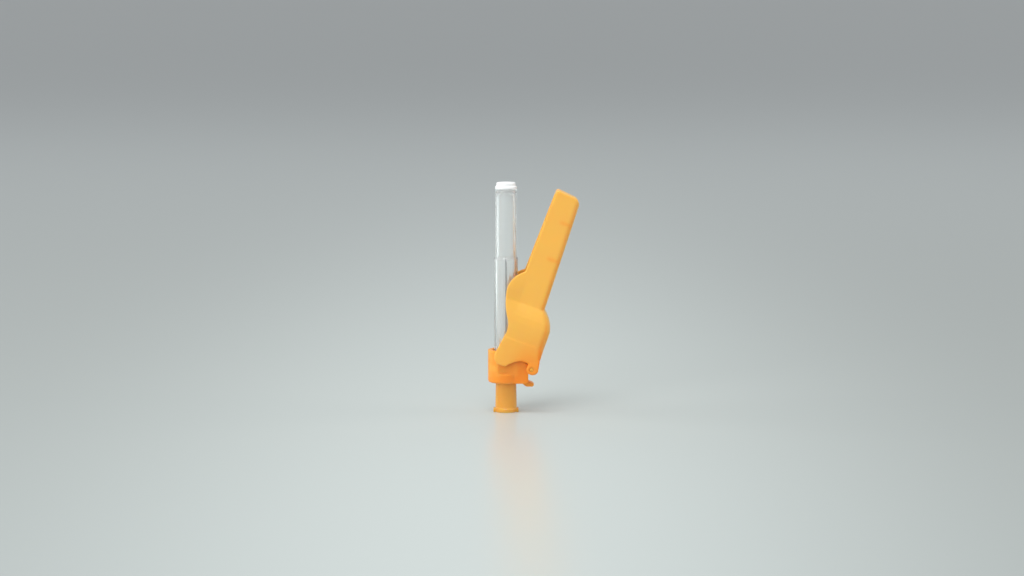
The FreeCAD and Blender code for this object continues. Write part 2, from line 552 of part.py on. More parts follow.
def sideOutline():
    # the shield's outline seen from the side, shut, as one closed wire
    lipTop = -size("ShieldTipLip")
    lipRoot = -size("ShieldRootLip")
    reach = -size("WingReach")
    skirt = -size("SkirtReach")
    skirtFoot = size("SkirtFoot")
    arch = size("SkirtArch")
    boss = size("BossDiameter") / 2
    tipRadius = size("ShieldTipRadius")
    tipBackZ = topZ - size("ShieldTipDrop")
    turn = boss * math.sin(math.radians(45))
    lipRadius = size("ShieldLipRadius")
    lipFoot = vec(lipTop, 0, topZ - lipRadius)
    lipTurn = vec(lipTop + quarterRound * lipRadius, 0, topZ - quarterRound * lipRadius)
    tipLeft = vec(lipTop + lipRadius, 0, topZ)
    tipRight = vec(tipBack - tipRadius, 0, tipBackZ)
    tipMiddle = vec(tipBack - quarterRound * tipRadius, 0, tipBackZ - quarterRound * tipRadius)
    backTop = vec(channelBack(tipBackZ - tipRadius), 0, tipBackZ - tipRadius)
    # below the tip the sections themselves give the back
    clearTop = vec(hoodBack + beyond, 0, tipBackZ - tipRadius)
    clearFoot = vec(hoodBack + beyond, 0, hingeZ)
    bossRight = vec(hingeX + boss, 0, hingeZ)
    bossTurn = vec(hingeX + turn, 0, hingeZ - turn)
    bossFoot = vec(hingeX, 0, hingeZ - boss)
    bossLeftTurn = vec(hingeX - turn, 0, hingeZ - turn)
    bossLeft = vec(hingeX - boss, 0, hingeZ)
    archRight = vec(hingeX - boss, 0, arch)
    archLeft = vec(archRight.x - size("ArchLength"), 0, arch)
    waveFoot = vec(archLeft.x - size("WaveLength"), 0, skirtFoot)
    waveMiddle = (archLeft + waveFoot) / 2 + vec(0, 0, size("WaveRise"))
    corner = size("SkirtCorner")
    skirtCorner = vec(skirt + corner, 0, skirtFoot)
    skirtTurn = vec(skirt + quarterRound * corner, 0, skirtFoot + quarterRound * (arch - skirtFoot))
    skirtSide = vec(skirt, 0, arch)
    waistHeight = size("WaistHeight")
    waistFoot = vec(-size("WaistFootReach"), 0, waistHeight - size("WaistLength"))
    waist = vec(-size("WaistReach"), 0, waistHeight)
    wingStart = vec(-size("WingFootReach"), 0, wingFoot)
    wingLow = vec(-size("WingLowerReach"), 0, (wingFoot + wingMiddle) / 2)
    wingWide = vec(reach, 0, wingMiddle)
    wingHigh = vec(-size("WingUpperReach"), 0, (wingMiddle + wingTop) / 2)
    wingEnd = vec(lipRoot, 0, wingTop)
    return Part.Wire([
        lineTo(tipLeft, tipRight),
        arcThrough(tipRight, tipMiddle, backTop),
        lineTo(backTop, clearTop),
        lineTo(clearTop, clearFoot),
        lineTo(clearFoot, bossRight),
        arcThrough(bossRight, bossTurn, bossFoot),
        arcThrough(bossFoot, bossLeftTurn, bossLeft),
        lineTo(bossLeft, archRight),
        lineTo(archRight, archLeft),
        arcThrough(archLeft, waveMiddle, waveFoot),
        lineTo(waveFoot, skirtCorner),
        arcThrough(skirtCorner, skirtTurn, skirtSide),
        lineTo(skirtSide, waistFoot),
        arcThrough(waistFoot, waist, wingStart),
        arcThrough(wingStart, wingLow, wingWide),
        arcThrough(wingWide, wingHigh, wingEnd),
        lineTo(wingEnd, lipFoot),
        arcThrough(lipFoot, lipTurn, tipLeft),
    ])


def acrossY(wire, half):
    # a wire in the XZ plane made solid to half each side of it
    face = Part.Face(wire)
    face.translate(vec(0, -half, 0))
    return face.extrude(vec(0, 2 * half, 0))


def makeShield():
    halfSpan = hoodHalf + beyond
    lowest = hingeZ - size("BossDiameter") - beyond
    outer = Part.makeLoft(shieldSections(0.0, lowest, topZ + beyond), True, True)
    inner = Part.makeLoft(shieldSections(wall, lowest - wall, topZ - 2 * wall), True, True)
    shell = outer.cut(inner).common(acrossY(sideOutline(), halfSpan))
    # the back is open behind the hinge bar, between the cheeks
    gapHalf = size("FlatSpan") / 2 + (hoodHalf - wall - size("FlatSpan") / 2) / 2
    windowFoot = hingeZ - size("BossDiameter")
    windowTop = size("BackWindowTop")
    window = Part.makeBox(
        hoodBack, 2 * gapHalf, windowTop - windowFoot,
        vec(hingeX - size("HingeBarDiameter"), -gapHalf, windowFoot),
    )
    shell = shell.cut(window)
    # a cheek each side carries the pin, with a web that joins it to the hood's back
    bossRadius = size("BossDiameter") / 2
    cheekLength = wall + size("BossProud")
    cheekReach = size("CheekReach")
    bossFoot = vec(hingeX, 0, hingeZ - bossRadius)
    webTurn = vec(
        cheekReach - quarterRound * (cheekReach - hingeX), 0,
        hingeZ - bossRadius + quarterRound * bossRadius,
    )
    webBack = vec(cheekReach, 0, hingeZ)
    webTop = vec(hoodBack, 0, windowTop)
    webRoot = vec(hingeX, 0, windowTop + wall)
    web = Part.Wire([
        arcThrough(bossFoot, webTurn, webBack),
        lineTo(webBack, webTop),
        lineTo(webTop, webRoot),
        lineTo(webRoot, bossFoot),
    ])
    for side in (-1, 1):
        bossStart = hoodHalf - wall if side > 0 else -hoodHalf - size("BossProud")
        boss = Part.makeCylinder(bossRadius, cheekLength, vec(hingeX, bossStart, hingeZ), vec(0, 1, 0))
        webFace = Part.Face(web)
        webFace.translate(vec(0, hoodHalf - wall if side > 0 else -hoodHalf, 0))
        shell = shell.fuse([boss, webFace.extrude(vec(0, wall, 0))])
    pinHole = Part.makeCylinder(
        size("PinDiameter") / 2 + size("PinClearance"),
        2 * halfSpan, vec(hingeX, -halfSpan, hingeZ), vec(0, 1, 0),
    )
    shell = shell.cut(pinHole)
    # cross ribs behind the cannula
    ribFront = size("CannulaDiameter") / 2 + size("RibGap")
    for height in (size("UpperRibHeight"), size("LowerRibHeight")):
        ribBack = channelBack(height) - wall / 2
        ribHalf = channelHalf(height) - wall / 2
        rib = Part.makeBox(
            ribBack - ribFront, 2 * ribHalf, size("RibThickness"),
            vec(ribFront, -ribHalf, height - size("RibThickness") / 2),
        )
        shell = shell.fuse(rib.common(outer))
    # the needle lock: a springy finger from the near wall, slanting down past the axis
    slope = math.radians(size("LockSlope"))
    rootY = -channelHalf(size("LockHeight")) + wall / 2
    run = size("LockPastAxis") - rootY
    finger = Part.makeBox(
        size("LockWidth"), run / math.cos(slope), size("LockThickness"),
        vec(-size("LockOffset") - size("LockWidth") / 2, 0, -size("LockThickness") / 2),
    )
    finger.rotate(vec(0, 0, 0), vec(1, 0, 0), -math.degrees(slope))
    finger.translate(vec(0, rootY, size("LockHeight")))
    shell = shell.fuse(finger)
    slotBack = channelBack(size("BackSlotHeight"))
    slot = Part.makeBox(
        4 * wall, size("BackSlotWidth"), size("BackSlotLength"),
        vec(slotBack - 2 * wall, -size("BackSlotWidth") / 2,
            size("BackSlotHeight") - size("BackSlotLength") / 2),
    )
    shell = shell.cut(slot).removeSplitter()
    return shell


shield = doc.addObject("Part::Feature", "safety_shield")
shield.Label = "safety_shield"
shieldShape = makeShield()
if shieldShape.ShapeType == "Compound" and len(shieldShape.Solids) == 1:
    shieldShape = shieldShape.Solids[0]
shield.Shape = shieldShape
shield.Placement = FreeCAD.Placement(
    vec(0, 0, 0),
    FreeCAD.Rotation(vec(0, 1, 0), size("ParkAngle")),
    vec(hingeX, 0, hingeZ),
)
doc.recompute()

pieces = [hub, cannula, adhesive, collar, shield, cap]
for item in doc.Objects:
    for word in item.State:
        if word in ("Invalid", "Error"):
            raise RuntimeError(f"{item.Name} is {word}")
for piece in pieces:
    if piece.Shape.isNull() or not piece.Shape.isValid():
        raise RuntimeError(f"{piece.Label} has no valid shape")

os.makedirs("parts", exist_ok=True)
for piece in pieces:
    piece.Shape.exportStep(f"parts/{piece.Label}.step")
    box = piece.Shape.BoundBox
    corners = (box.XMin, box.YMin, box.ZMin, box.XMax, box.YMax, box.ZMax)
    print(piece.Label, len(piece.Shape.Solids), "solid", round(piece.Shape.Volume, 2), "mm3, box",
          [round(corner, 2) for corner in corners])
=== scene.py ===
import bpy
import bmesh
import math
from mathutils import Matrix, Vector
from mathutils.bvhtree import BVHTree


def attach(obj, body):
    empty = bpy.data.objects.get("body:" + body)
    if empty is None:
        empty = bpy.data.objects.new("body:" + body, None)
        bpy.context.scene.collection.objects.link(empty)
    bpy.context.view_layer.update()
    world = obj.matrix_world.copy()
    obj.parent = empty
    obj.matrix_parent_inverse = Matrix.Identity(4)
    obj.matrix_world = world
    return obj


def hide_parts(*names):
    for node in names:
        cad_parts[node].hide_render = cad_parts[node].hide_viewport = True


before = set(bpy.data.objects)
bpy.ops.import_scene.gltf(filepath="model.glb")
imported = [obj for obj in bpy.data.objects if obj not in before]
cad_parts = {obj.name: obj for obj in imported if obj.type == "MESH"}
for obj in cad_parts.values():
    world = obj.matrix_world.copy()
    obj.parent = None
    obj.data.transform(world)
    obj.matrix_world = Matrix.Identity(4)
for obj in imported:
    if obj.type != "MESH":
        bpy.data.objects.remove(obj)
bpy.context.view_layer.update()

mm = 0.001
print("frame loaded:", sorted(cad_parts))


# Camera. The photo's scale is read off the flange, and its aim off the cap and the base.
cameraSettings = {
    "imageWidth": 1024,          # pixels, the photo's own frame
    "imageHeight": 576,
    "pixelsPerMetre": 3230.0,
    "axisPixelX": 506.0,         # where the cannula's line stands in the photo
    "basePixelY": 411.9,         # where the flange meets the floor
    "elevation": 7.0,            # degrees above level
    "lens": 100.0,
    "sensor": 36.0,
}


def addCamera(settings):
    frameWidth = settings["imageWidth"] / settings["pixelsPerMetre"]
    distance = frameWidth * settings["lens"] / settings["sensor"]
    lift = math.radians(settings["elevation"])
    aimX = (settings["imageWidth"] / 2 - settings["axisPixelX"]) / settings["pixelsPerMetre"]
    rise = (settings["basePixelY"] - settings["imageHeight"] / 2) / settings["pixelsPerMetre"]
    aim = Vector((aimX, 0.0, rise / math.cos(lift)))
    back = Vector((0.0, -math.cos(lift), math.sin(lift)))
    data = bpy.data.cameras.new("photoCamera")
    data.lens = settings["lens"]
    data.sensor_width = settings["sensor"]
    data.clip_start = 0.01
    data.clip_end = 40.0
    camera = bpy.data.objects.new("photoCamera", data)
    bpy.context.scene.collection.objects.link(camera)
    camera.location = aim + back * distance
    camera.rotation_mode = "QUATERNION"
    camera.rotation_quaternion = (-back).to_track_quat("-Z", "Y")
    bpy.context.scene.camera = camera


addCamera(cameraSettings)
bpy.context.scene.view_settings.view_transform = "Standard"
print("camera placed")


# Small helpers for node trees, shader and geometry alike.
def place(tree, kind, **values):
    node = tree.nodes.new(kind)
    for key, value in values.items():
        setattr(node, key, value)
    return node


def feed(tree, source, target):
    # a socket is linked, a plain value is written, and None leaves the default
    if source is None:
        return
    if isinstance(source, bpy.types.NodeSocket):
        tree.links.new(source, target)
    else:
        target.default_value = source


def calc(tree, operation, first, second=None):
    node = place(tree, "ShaderNodeMath", operation=operation)
    feed(tree, first, node.inputs[0])
    feed(tree, second, node.inputs[1])
    return node.outputs[0]


def noise(tree, vector, scale, detail, roughness=0.5):
    node = place(tree, "ShaderNodeTexNoise")
    feed(tree, vector, node.inputs["Vector"])
    feed(tree, scale, node.inputs["Scale"])
    feed(tree, detail, node.inputs["Detail"])
    feed(tree, roughness, node.inputs["Roughness"])
    return node.outputs["Fac"]


def ramp(tree, value, low, high, outLow, outHigh, smooth=True):
    node = place(tree, "ShaderNodeMapRange", interpolation_type="SMOOTHSTEP" if smooth else "LINEAR")
    for socket, entry in zip(node.inputs, (value, low, high, outLow, outHigh)):
        feed(tree, entry, socket)
    return node.outputs[0]


def blendColours(tree, share, first, second):
    node = place(tree, "ShaderNodeMix", data_type="RGBA")
    feed(tree, share, node.inputs["Factor"])
    feed(tree, first, node.inputs[6])
    feed(tree, second, node.inputs[7])
    return node.outputs[2]


def newGroup(name, inputs, outputs):
    tree = bpy.data.node_groups.new(name, "ShaderNodeTree")
    for label, value in inputs.items():
        kind = {float: "NodeSocketFloat", tuple: "NodeSocketColor"}.get(type(value), "NodeSocketVector")
        socket = tree.interface.new_socket(label, in_out="INPUT", socket_type=kind)
        if value is not None:
            socket.default_value = value
    for label, kind in outputs.items():
        tree.interface.new_socket(label, in_out="OUTPUT", socket_type=kind)
    return tree, place(tree, "NodeGroupInput").outputs, place(tree, "NodeGroupOutput").inputs


# Effects that several materials share.
def makeMouldGrain():
    # the faint satin of a moulded face, with long soft flow marks under it
    tree, source, result = newGroup(
        "mouldGrain",
        {"Vector": None, "Grain Scale": 5000.0, "Flow Scale": 260.0, "Flow Share": 0.5,
         "Smooth": 0.3, "Rough": 0.42},
        {"Height": "NodeSocketFloat", "Roughness": "NodeSocketFloat"},
    )
    grain = noise(tree, source["Vector"], source["Grain Scale"], 2.0)
    flow = noise(tree, source["Vector"], source["Flow Scale"], 3.0, 0.6)
    weighted = calc(tree, "MULTIPLY", flow, source["Flow Share"])
    feed(tree, calc(tree, "ADD", grain, weighted), result["Height"])
    feed(tree, ramp(tree, flow, 0.35, 0.68, source["Smooth"], source["Rough"]), result["Roughness"])
    return tree


def makeMilkyTint():
    # colour by a depth share: how much plastic lies behind a point, with painted highlight and painted
    # shade where the moulded pieces mix them in, and a slight mottle from the melt
    tree, source, result = newGroup(
        "milkyTint",
        {"Vector": None, "Depth": 0.0, "Light": (1.0, 0.6, 0.2, 1.0), "Deep": (1.0, 0.3, 0.05, 1.0),
         "Mottle Scale": 190.0, "Mottle": 0.12},
        {"Color": "NodeSocketColor"},
    )
    cloud = noise(tree, source["Vector"], source["Mottle Scale"], 3.0, 0.55)
    swing = calc(tree, "MULTIPLY", calc(tree, "SUBTRACT", cloud, 0.5), source["Mottle"])
    share = place(tree, "ShaderNodeClamp")
    feed(tree, calc(tree, "ADD", source["Depth"], swing), share.inputs[0])
    feed(tree, blendColours(tree, share.outputs[0], source["Light"], source["Deep"]), result["Color"])
    return tree


def makeHandlingMarks():
    # hairline scratches along one direction, as a height and a roughness
    tree, source, result = newGroup(
        "handlingMarks",
        {"Vector": None, "Scale": 900.0, "Smooth": 0.03, "Rough": 0.12},
        {"Height": "NodeSocketFloat", "Roughness": "NodeSocketFloat"},
    )
    lines = noise(tree, source["Vector"], source["Scale"], 2.0, 0.6)
    sharp = ramp(tree, lines, 0.55, 0.75, 0.0, 1.0)
    feed(tree, sharp, result["Height"])
    feed(tree, ramp(tree, sharp, 0.0, 1.0, source["Smooth"], source["Rough"]), result["Roughness"])
    return tree


mouldGrain = makeMouldGrain()
milkyTint = makeMilkyTint()
handlingMarks = makeHandlingMarks()


# Materials.
def newMaterial(name):
    material = bpy.data.materials.new(name)
    material.use_nodes = True
    tree = material.node_tree
    tree.nodes.clear()
    shader = place(tree, "ShaderNodeBsdfPrincipled")
    output = place(tree, "ShaderNodeOutputMaterial")
    feed(tree, shader.outputs[0], output.inputs["Surface"])
    return material, tree, shader


def mapped(tree, turn=(0.0, 0.0, 0.0), stretch=(1.0, 1.0, 1.0)):
    # object coordinates, turned and stretched
    node = place(tree, "ShaderNodeMapping")
    feed(tree, place(tree, "ShaderNodeTexCoord").outputs["Object"], node.inputs["Vector"])
    node.inputs["Rotation"].default_value = turn
    node.inputs["Scale"].default_value = stretch
    return node.outputs["Vector"]


def useGroup(tree, group, **values):
    node = place(tree, "ShaderNodeGroup", node_tree=group)
    for key, value in values.items():
        feed(tree, value, node.inputs[key])
    return node.outputs


def bumped(tree, shader, height, distance, strength=1.0):
    bump = place(tree, "ShaderNodeBump")
    feed(tree, height, bump.inputs["Height"])
    feed(tree, distance, bump.inputs["Distance"])
    feed(tree, strength, bump.inputs["Strength"])
    feed(tree, bump.outputs["Normal"], shader.inputs["Normal"])


milkySettings = {
    "shield": {
        "light": (0.98, 0.505, 0.088, 1.0), "deep": (0.97, 0.27, 0.015, 1.0), "mottle": 0.16,
        "smooth": 0.30, "rough": 0.42, "grainDepth": 0.006 * mm, "turn": -20.0,
        "scatter": 0.38, "scatterDepth": 1.4 * mm, "clear": 0.0,
    },
    "collar": {
        "light": (0.97, 0.48, 0.08, 1.0), "deep": (0.94, 0.28, 0.02, 1.0), "mottle": 0.16,
        "smooth": 0.30, "rough": 0.42, "grainDepth": 0.006 * mm, "turn": 0.0,
        "scatter": 0.55, "scatterDepth": 1.6 * mm, "clear": 0.0,
    },
    "hub": {
        "light": (0.90, 0.445, 0.078, 1.0), "deep": (0.84, 0.29, 0.025, 1.0), "mottle": 0.12,
        "smooth": 0.16, "rough": 0.26, "grainDepth": 0.003 * mm, "turn": 0.0,
        "scatter": 0.45, "scatterDepth": 2.0 * mm, "clear": 0.08,
    },
}


def makeMilkyPlastic(name, settings):
    material, tree, shader = newMaterial(name)
    vector = mapped(tree, turn=(0.0, math.radians(settings["turn"]), 0.0))
    # the tint follows plastic thickness, with the painted highlight and painted shade mixed into the same
    # attribute
    depth = place(tree, "ShaderNodeAttribute", attribute_name="depthAndPaintedLight")
    tint = useGroup(tree, milkyTint, Vector=vector, Depth=depth.outputs["Fac"], Light=settings["light"],
                    Deep=settings["deep"], Mottle=settings["mottle"])
    grain = useGroup(tree, mouldGrain, Vector=vector, Smooth=settings["smooth"], Rough=settings["rough"])
    feed(tree, tint["Color"], shader.inputs["Base Color"])
    feed(tree, grain["Roughness"], shader.inputs["Roughness"])
    bumped(tree, shader, grain["Height"], settings["grainDepth"])
    shader.inputs["IOR"].default_value = 1.49
    shader.inputs["Subsurface Weight"].default_value = settings["scatter"]
    shader.inputs["Subsurface Radius"].default_value = (1.0, 0.45, 0.12)
    shader.inputs["Subsurface Scale"].default_value = settings["scatterDepth"]
    shader.inputs["Transmission Weight"].default_value = settings["clear"]
    return material


def makeClearPlastic():
    material, tree, shader = newMaterial("clearPlastic")
    vector = mapped(tree, stretch=(1.0, 1.0, 0.08))
    marks = useGroup(tree, handlingMarks, Vector=vector, Smooth=0.015, Rough=0.05)
    tint = useGroup(tree, milkyTint, Vector=mapped(tree), Depth=0.3, Light=(0.985, 0.995, 0.99, 1.0),
                    Deep=(0.955, 0.975, 0.965, 1.0), Mottle=0.5)
    feed(tree, tint["Color"], shader.inputs["Base Color"])
    feed(tree, marks["Roughness"], shader.inputs["Roughness"])
    bumped(tree, shader, marks["Height"], 0.002 * mm, 0.4)
    shader.inputs["IOR"].default_value = 1.5
    shader.inputs["Transmission Weight"].default_value = 0.84
    return material


def makeFrostedEnd():
    # the cap's closed end is textured and scatters the light
    material, tree, shader = newMaterial("frostedEnd")
    grain = useGroup(tree, mouldGrain, Vector=mapped(tree), Smooth=0.35, Rough=0.5)
    tint = useGroup(tree, milkyTint, Vector=mapped(tree), Depth=0.2, Light=(0.985, 0.99, 0.99, 1.0),
                    Deep=(0.94, 0.955, 0.955, 1.0), Mottle=0.4)
    feed(tree, tint["Color"], shader.inputs["Base Color"])
    feed(tree, grain["Roughness"], shader.inputs["Roughness"])
    bumped(tree, shader, grain["Height"], 0.012 * mm)
    shader.inputs["IOR"].default_value = 1.5
    shader.inputs["Transmission Weight"].default_value = 0.12
    return material


def makeSteel():
    material, tree, shader = newMaterial("drawnSteel")
    marks = useGroup(tree, handlingMarks, Vector=mapped(tree, stretch=(1.0, 1.0, 0.02)), Scale=9000.0,
                     Smooth=0.16, Rough=0.34)
    # painted shade: the steel is darker than bare steel, standing in for how dark the needle looks through
    # the cap
    tint = useGroup(tree, milkyTint, Vector=mapped(tree), Depth=0.4, Light=(0.27, 0.27, 0.28, 1.0),
                    Deep=(0.19, 0.19, 0.20, 1.0), Mottle=0.5)
    feed(tree, tint["Color"], shader.inputs["Base Color"])
    feed(tree, marks["Roughness"], shader.inputs["Roughness"])
    bumped(tree, shader, marks["Height"], 0.001 * mm, 0.5)
    shader.inputs["Metallic"].default_value = 1.0
    return material


def makeResin():
    material, tree, shader = newMaterial("curedResin")
    grain = useGroup(tree, mouldGrain, Vector=mapped(tree), Smooth=0.05, Rough=0.14)
    tint = useGroup(tree, milkyTint, Vector=mapped(tree), Depth=0.3, Light=(0.93, 0.90, 0.78, 1.0),
                    Deep=(0.86, 0.78, 0.55, 1.0), Mottle=0.4)
    feed(tree, tint["Color"], shader.inputs["Base Color"])
    feed(tree, grain["Roughness"], shader.inputs["Roughness"])
    bumped(tree, shader, grain["Height"], 0.004 * mm)
    shader.inputs["IOR"].default_value = 1.5
    shader.inputs["Transmission Weight"].default_value = 0.6
    return material


shieldPlastic = makeMilkyPlastic("shieldPlastic", milkySettings["shield"])
collarPlastic = makeMilkyPlastic("collarPlastic", milkySettings["collar"])
hubPlastic = makeMilkyPlastic("hubPlastic", milkySettings["hub"])
clearPlastic = makeClearPlastic()
frostedEnd = makeFrostedEnd()
drawnSteel = makeSteel()
curedResin = makeResin()
print("materials made")


# Meshes and pieces.
def linkMesh(name, mesh):
    piece = bpy.data.objects.new(name, mesh)
    bpy.context.scene.collection.objects.link(piece)
    return piece


def mergedCopy(node):
    # the node's loose triangles joined into one closed skin
    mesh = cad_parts[node].data.copy()
    work = bmesh.new()
    work.from_mesh(mesh)
    bmesh.ops.remove_doubles(work, verts=work.verts, dist=0.0005 * mm)
    work.to_mesh(mesh)
    work.free()
    mesh.materials.clear()
    return mesh


def bakedMesh(piece, name):
    # the piece's evaluated mesh as a plain one
    graph = bpy.context.evaluated_depsgraph_get()
    mesh = bpy.data.meshes.new_from_object(piece.evaluated_get(graph))
    mesh.name = name
    return mesh


def settle(piece, name, body, nodes):
    # swaps a modelled piece for its plain mesh, and rides, replaces and names it
    mesh = bakedMesh(piece, name)
    bpy.data.objects.remove(piece)
    finished = linkMesh(name, mesh)
    mesh.shade_smooth()
    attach(finished, body)
    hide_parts(*nodes)
    print(name, "made:", len(mesh.polygons), "faces")
    return finished


def softened(name, node, settings):
    # a moulding with soft edges: the CAD skin remeshed finely, then smoothed
    piece = linkMesh(name, mergedCopy(node))
    remesh = piece.modifiers.new("remesh", "REMESH")
    remesh.mode = "VOXEL"
    remesh.voxel_size = settings["voxel"]
    smooth = piece.modifiers.new("smooth", "SMOOTH")
    smooth.factor = settings["smoothFactor"]
    smooth.iterations = settings["smoothRounds"]
    return piece


# How much plastic lies behind each point, looked for along the axes that its face looks to.
class PlasticProbe:
    def __init__(self, nodes, turn):
        self.trees = []
        self.turn = turn
        for node in nodes:
            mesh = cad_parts[node].data
            corners = [turn @ vertex.co for vertex in mesh.vertices]
            faces = [tuple(polygon.vertices) for polygon in mesh.polygons]
            self.trees.append(BVHTree.FromPolygons(corners, faces))

    def along(self, start, direction, reach):
        total = 0.0
        nudge = 0.004 * mm
        for tree in self.trees:
            travelled = nudge
            while travelled < reach:
                point = start + direction * travelled
                hit, normal, face, distance = tree.ray_cast(point, direction, reach - travelled)
                if hit is None:
                    break
                if normal.dot(direction) > 0:
                    total += distance
                travelled += distance + nudge
        return total


hingeSpot = Vector((7.9 * mm, 0.0, 14.0 * mm))
leastTurn = 0.12        # an axis counts when the square of the face's share along it is over this


def paintDepthAndLight(piece, probe, settings):
    # writes the tint attribute: 0 in a single wall, near 1 in a thick place or at the hinge, where it is
    # painted shade; the closed end is kept pale, a painted highlight
    mesh = piece.data
    axes = [Vector((1, 0, 0)), Vector((0, 1, 0)), Vector((0, 0, 1))]
    spin = probe.turn.to_3x3()
    depthsAndPaintedLight = []
    for vertex in mesh.vertices:
        start = probe.turn @ vertex.co
        normal = spin @ vertex.normal
        total = 0.0
        share = 0.0
        for axis in axes:
            part = normal.dot(axis)
            if part * part < leastTurn:
                continue
            inward = -axis if part > 0 else axis
            if -inward not in settings["thinFaces"]:
                total += part * part * probe.along(start, inward, settings["reach"])
            share += part * part
        thickness = total / share
        depth = 1.0 - math.exp(-max(0.0, thickness - settings["clearWall"]) / settings["fade"])
        # painted highlight: from its start upward the closed end loses its depth and turns pale
        highlightShare = min(1.0, max(0.0, (start.z - settings["paintedHighlightFrom"]) / settings["paintedHighlightLength"]))
        # painted shade: a deeper tone round the hinge by distance alone, where shield and collar lie over
        # each other
        toHinge = Vector((start.x - hingeSpot.x, start.z - hingeSpot.z)).length
        nearHinge = math.exp(-(toHinge / settings["paintedHingeShadeReach"]) ** 2)
        depthsAndPaintedLight.append(depth * (1.0 - highlightShare) + settings["paintedHingeShade"] * nearHinge)
    neighbours = [[] for _ in depthsAndPaintedLight]
    for edge in mesh.edges:
        first, second = edge.vertices
        neighbours[first].append(second)
        neighbours[second].append(first)
    for _ in range(settings["spread"]):
        depthsAndPaintedLight = [
            0.5 * depth + 0.5 * sum(depthsAndPaintedLight[other] for other in near) / max(1, len(near))
            for depth, near in zip(depthsAndPaintedLight, neighbours)
        ]
    layer = mesh.attributes.new("depthAndPaintedLight", "FLOAT", "POINT")
    layer.data.foreach_set("value", depthsAndPaintedLight)
    print(piece.name, "tinted, depth on average", round(sum(depthsAndPaintedLight) / len(depthsAndPaintedLight), 3))


# Shield: soft-edged moulding, tinted by the thickness of plastic behind each face, with a painted highlight
# at the closed end and painted shade round the hinge.
shieldSettings = {
    "voxel": 0.215 * mm, "smoothFactor": 0.5, "smoothRounds": 4,
    "parkAngle": 20.0,
    "reach": 14.0 * mm, "clearWall": 2.4 * mm, "fade": 3.4 * mm, "spread": 16,
    "paintedHighlightFrom": 65.5 * mm, "paintedHighlightLength": 2.0 * mm,        # the closed end is kept pale: a painted highlight
    "paintedHingeShade": 0.75, "paintedHingeShadeReach": 8.0 * mm,            # and the plastic round the hinge deep: painted shade where shield and collar lie over each other, by distance from the hinge
    "thinFaces": [Vector((-1, 0, 0)), Vector((0, 0, 1))],        # the open lips, and faces looking up, whose depth down the walls is not counted, which keeps them pale: part of the painted highlight
}


def shutTurn(settings):
    # takes the parked shield back to where it closes over the cannula
    spin = Matrix.Rotation(-math.radians(settings["parkAngle"]), 4, "Y")
    return Matrix.Translation(hingeSpot) @ spin @ Matrix.Translation(-hingeSpot)


def makeShield(settings):
    piece = softened("shieldShell", "safety_shield", settings)
    piece = settle(piece, "shieldMoulding", "shield", ["safety_shield"])
    paintDepthAndLight(piece, PlasticProbe(["safety_shield"], shutTurn(settings)), settings)
    piece.data.materials.append(shieldPlastic)


makeShield(shieldSettings)


# Collar, made the same way, with painted shade round the hinge.
collarSettings = {
    "voxel": 0.16 * mm, "smoothFactor": 0.5, "smoothRounds": 4,
    "reach": 12.0 * mm, "clearWall": 2.0 * mm, "fade": 6.0 * mm, "spread": 20, "thinFaces": [],
    # painted shade round the hinge, by distance from it
    "paintedHighlightFrom": 24.0 * mm, "paintedHighlightLength": 1.0 * mm, "paintedHingeShade": 0.5, "paintedHingeShadeReach": 9.0 * mm,
}


def makeCollar(settings):
    piece = softened("collarShell", "collar", settings)
    piece = settle(piece, "collarMoulding", "hub", ["collar"])
    paintDepthAndLight(piece, PlasticProbe(["collar", "needle_hub"], Matrix.Identity(4)), settings)
    piece.data.materials.append(collarPlastic)


makeCollar(collarSettings)


# Turned pieces, by Geometry Nodes: a rounded outline swept round the needle's axis.
def sumOf(tree, source, words):
    # "Top Height - End Thickness" as a chain of sums of the tree's named inputs
    total = None
    for word in words.replace(" - ", " + -").split(" + "):
        if word == "0":
            continue
        socket = source[word.lstrip("-")]
        operation = "SUBTRACT" if word.startswith("-") else "ADD"
        total = socket if total is None else calc(tree, operation, total, socket)
    return total


def indexed(tree, kind, entries):
    # one entry for each point of the outline, by its index
    node = place(tree, "GeometryNodeIndexSwitch", data_type=kind)
    while len(node.index_switch_items) < len(entries):
        node.index_switch_items.new()
    feed(tree, place(tree, "GeometryNodeInputIndex").outputs[0], node.inputs[0])
    for socket, entry in zip(node.inputs[1:], entries):
        feed(tree, entry, socket)
    return node.outputs[0]


